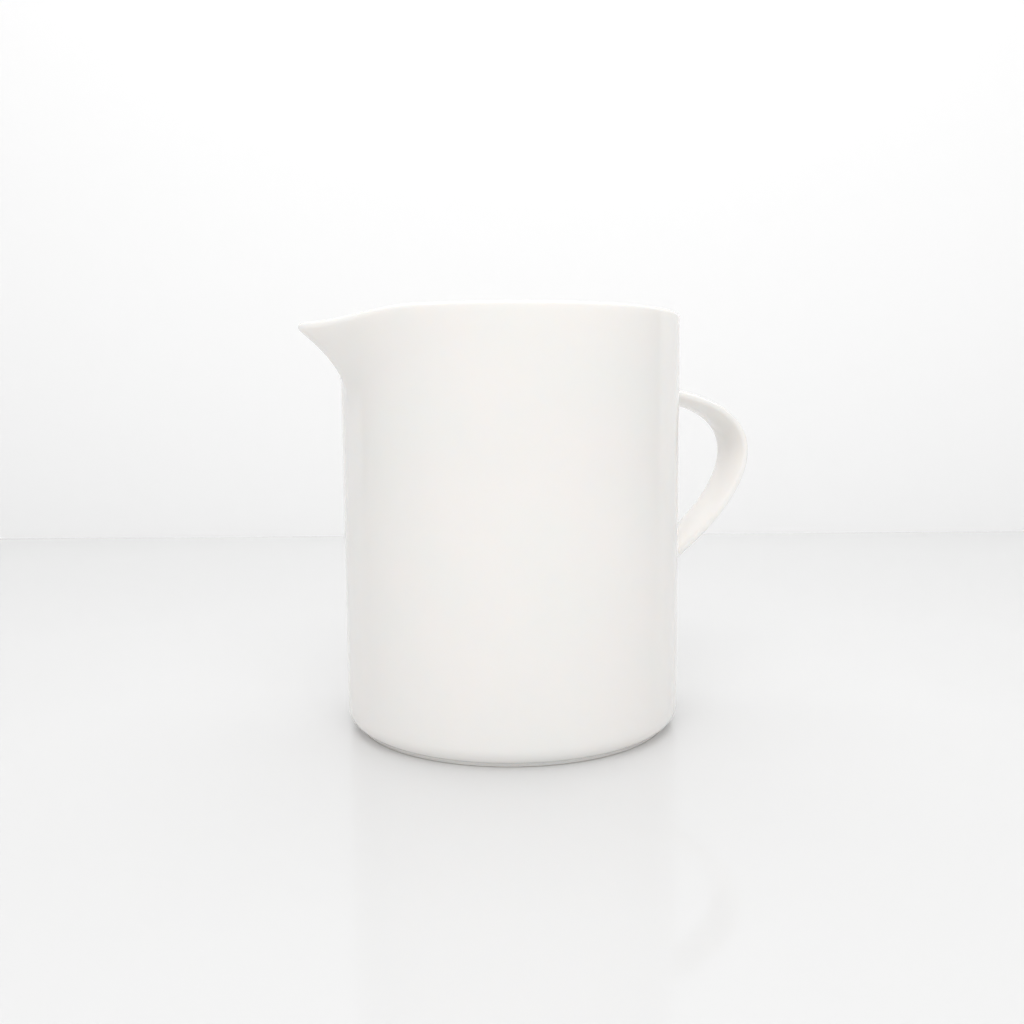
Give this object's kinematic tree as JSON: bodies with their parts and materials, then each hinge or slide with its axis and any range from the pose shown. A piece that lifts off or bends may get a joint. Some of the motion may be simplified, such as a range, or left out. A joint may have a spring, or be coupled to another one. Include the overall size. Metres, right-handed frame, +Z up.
{
  "type": "milk jug",
  "caption": "Straight-sided round porcelain milk jug with a pulled pouring lip, a flat ear-shaped strap handle opposite it and a low inset foot ring.",
  "frame": {"origin": "centre of the foot ring, on the plane that the jug stands on", "axes": "+Z up through the middle of the rim, +X out through the handle, so that the pouring lip points along -X"},
  "size_m": [0.1352, 0.0908, 0.11],
  "materials": {
    "porcelain": "clear glossy glaze over white porcelain"
  },
  "bodies": {
    "root": {"pitcher": "porcelain"}
  },
  "joints": []
}
